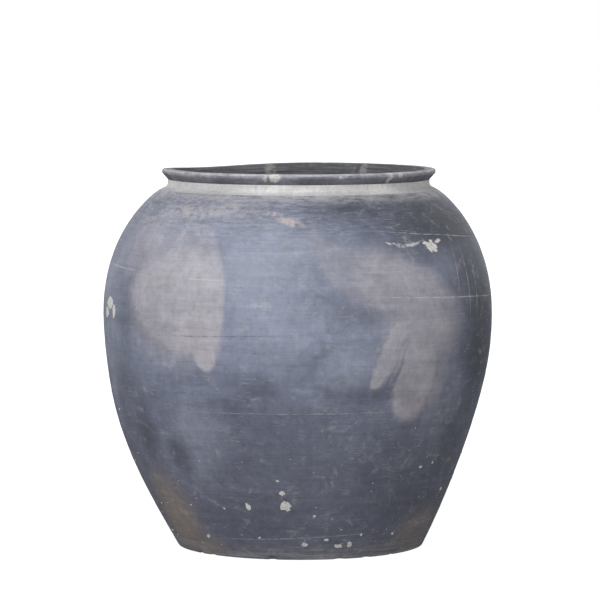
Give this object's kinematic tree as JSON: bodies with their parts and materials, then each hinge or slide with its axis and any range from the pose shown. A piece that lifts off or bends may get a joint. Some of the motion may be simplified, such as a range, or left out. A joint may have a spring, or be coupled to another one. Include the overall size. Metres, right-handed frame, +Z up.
{
  "type": "ceramic crock fermenter",
  "caption": "Wide-bellied unglazed earthenware crock for fermenting, built up in luted clay courses with a short collar and a thick turned-out lip.",
  "frame": {"origin": "centre of the underside of the floor slab, where the crock stands", "axes": "+Z up along the crock's axis of symmetry, out of the mouth; +X and +Y level"},
  "size_m": [0.5, 0.5, 0.484],
  "materials": {
    "grey_earthenware": "unglazed, smoke-fired and burnished, dull sheen",
    "pale_neck_clay": "unglazed, lime-bleached, chalky",
    "dark_rim_clay": "unglazed, smoke-blackened, worn"
  },
  "bodies": {
    "root": {"floor_slab": "grey_earthenware", "corner_coil": "grey_earthenware", "wall_course_1": "grey_earthenware", "wall_course_2": "grey_earthenware", "wall_course_3": "grey_earthenware", "wall_course_4": "grey_earthenware", "wall_course_5": "grey_earthenware", "wall_course_6": "grey_earthenware", "neck_collar": "pale_neck_clay", "lip": "dark_rim_clay"}
  },
  "joints": []
}
